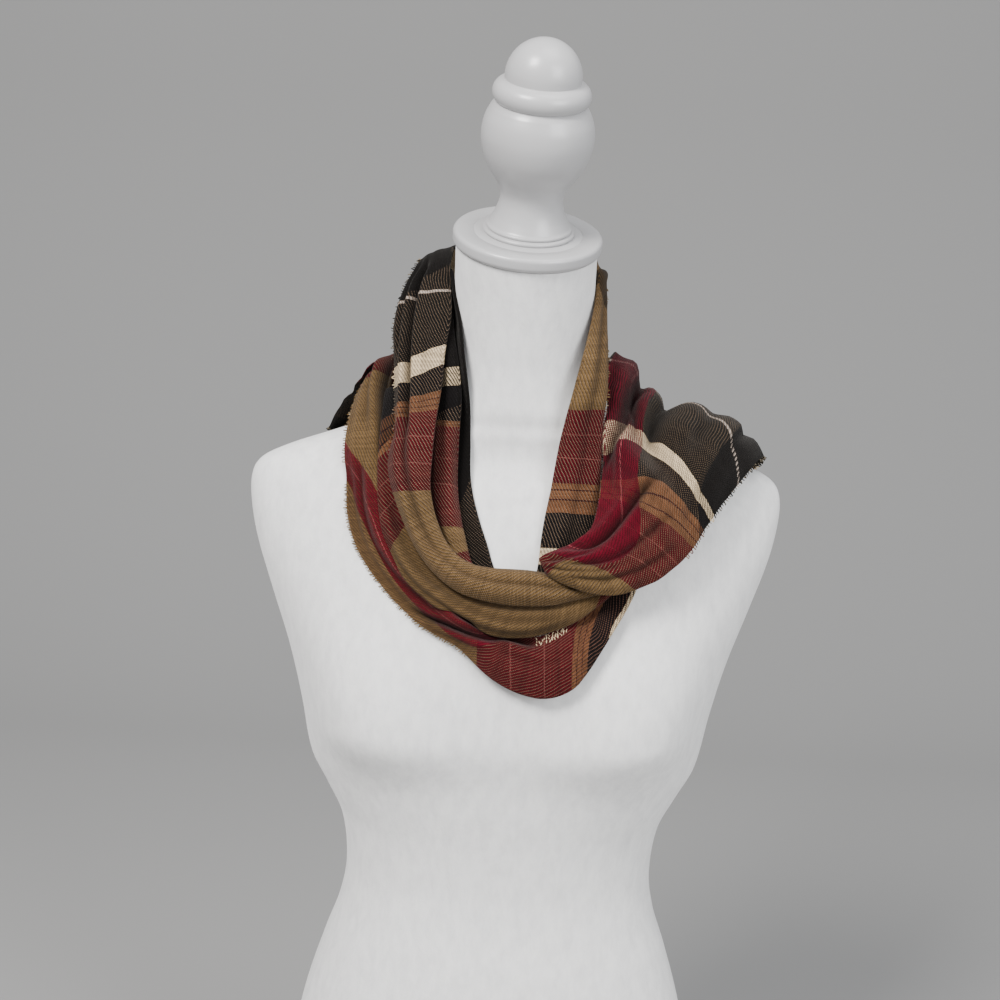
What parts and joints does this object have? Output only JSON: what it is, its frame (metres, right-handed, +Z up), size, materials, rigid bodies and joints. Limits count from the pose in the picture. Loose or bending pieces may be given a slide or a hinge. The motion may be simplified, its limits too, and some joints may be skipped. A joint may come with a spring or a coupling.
{
  "type": "infinity scarf on dress form",
  "caption": "Plaid infinity scarf wound twice round the neck of a white limbless dress form with a turned cap, finial, post and round base.",
  "frame": {"origin": "centre of the stand base's underside", "axes": "+Z up, the form's front faces -Y, +X to the right as the front is seen"},
  "size_m": [0.4288, 0.3, 1.0464],
  "materials": {
    "white_jersey": "matt stretched white jersey",
    "white_paint": "turned wood under satin white paint",
    "scarf_twill": "soft brushed twill in a tan, red, orange, black, olive and cream plaid"
  },
  "bodies": {
    "root": {"form_torso": "white_jersey", "form_cap_finial": "white_paint", "stand_post": "white_paint", "stand_base": "white_paint", "left_fall": "scarf_twill", "front_roll_lower": "scarf_twill", "right_flare": "scarf_twill", "right_fall": "scarf_twill", "left_outer": "scarf_twill", "inner_left": "scarf_twill", "neck_left_dark": "scarf_twill", "left_tip": "scarf_twill", "back_wrap_high": "scarf_twill", "back_wrap_low": "scarf_twill"}
  },
  "joints": []
}
